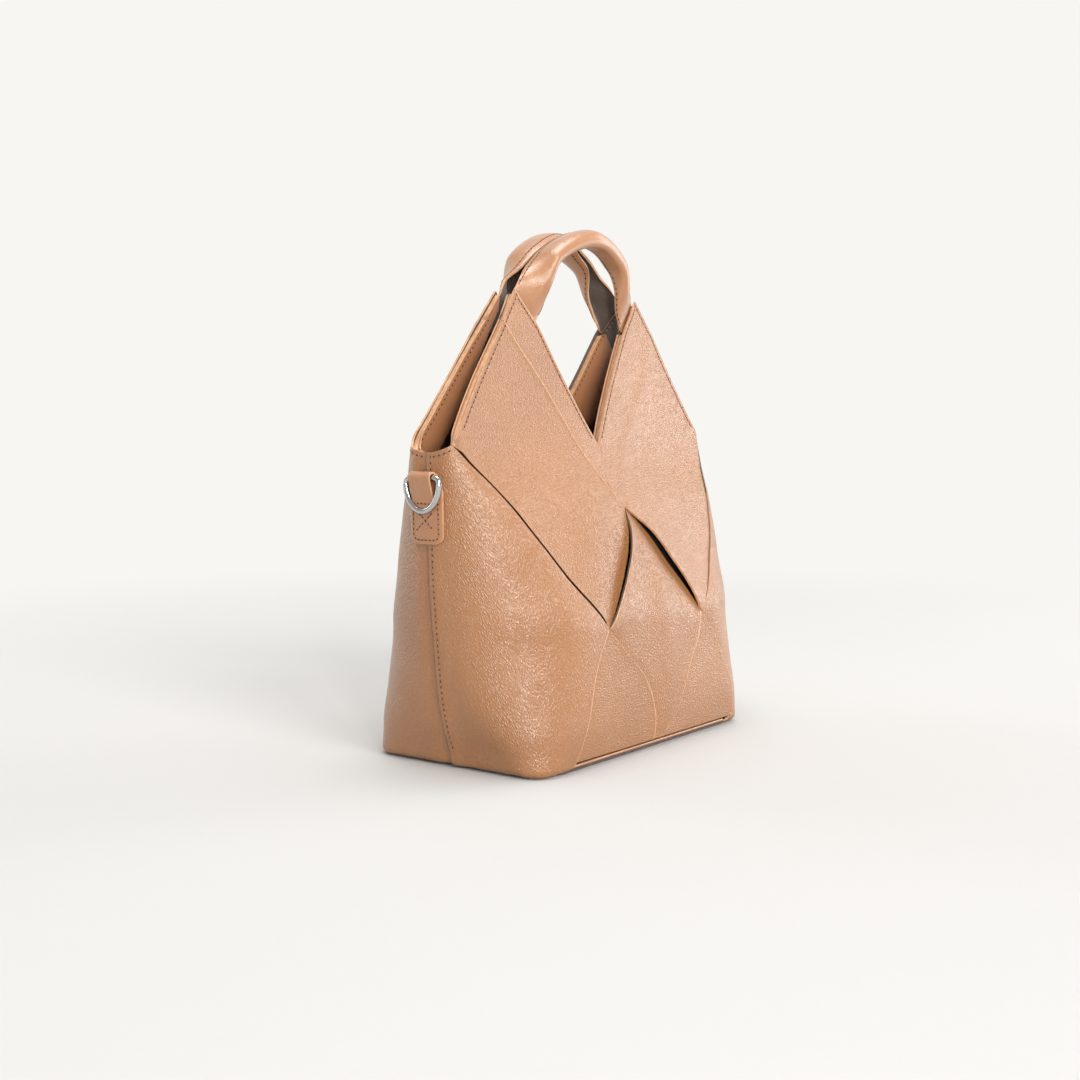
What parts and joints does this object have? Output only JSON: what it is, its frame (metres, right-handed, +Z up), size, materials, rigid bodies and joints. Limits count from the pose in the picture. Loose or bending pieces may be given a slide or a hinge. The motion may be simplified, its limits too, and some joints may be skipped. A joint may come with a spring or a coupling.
{
  "type": "tote bag",
  "caption": "Small structured leather tote bag with interlaced panels, a V-notched top, twin folded top handles and side tabs that hold D-shaped rings.",
  "frame": {"origin": "middle of the bag's base on the surface it stands on", "axes": "+Z up, +X to the right along the front, the front faces -Y"},
  "size_m": [0.2962, 0.1428, 0.3303],
  "materials": {
    "leather": "smooth grained, satin",
    "facing_leather": "matt",
    "lining_cloth": "woven, matt",
    "polished_metal": "polished"
  },
  "bodies": {
    "bag": {"front_left_side_panel": "leather", "front_left_shoulder_panel": "leather", "front_left_peak_strip": "leather", "front_left_lower_panel": "leather", "front_right_side_panel": "leather", "front_right_shoulder_panel": "leather", "front_right_peak_strip": "leather", "front_right_lower_panel": "leather", "front_centre_panel": "leather", "front_notch_welt": "leather", "front_notch_facing": "facing_leather", "front_handle": "leather", "back_left_side_panel": "leather", "back_left_shoulder_panel": "leather", "back_left_peak_strip": "leather", "back_left_lower_panel": "leather", "back_right_side_panel": "leather", "back_right_shoulder_panel": "leather", "back_right_peak_strip": "leather", "back_right_lower_panel": "leather", "back_centre_panel": "leather", "back_notch_welt": "leather", "back_notch_facing": "facing_leather", "back_handle": "leather", "left_opening_welt": "leather", "left_opening_facing": "facing_leather", "left_ring_tab": "leather", "right_opening_welt": "leather", "right_opening_facing": "facing_leather", "right_ring_tab": "leather", "lining": "lining_cloth", "base_panel": "leather"},
    "left_ring": {"left_d_ring": "polished_metal"},
    "right_ring": {"right_d_ring": "polished_metal"}
  },
  "joints": [
    {"name": "left_ring_hinge", "type": "hinge", "parent": "bag", "child": "left_ring", "pos_m": [-0.1443, 0, 0.176], "axis": [0, 1, 0], "range_deg": [0, 170]},
    {"name": "right_ring_hinge", "type": "hinge", "parent": "bag", "child": "right_ring", "pos_m": [0.1443, 0, 0.176], "axis": [0, -1, 0], "range_deg": [0, 170]}
  ]
}
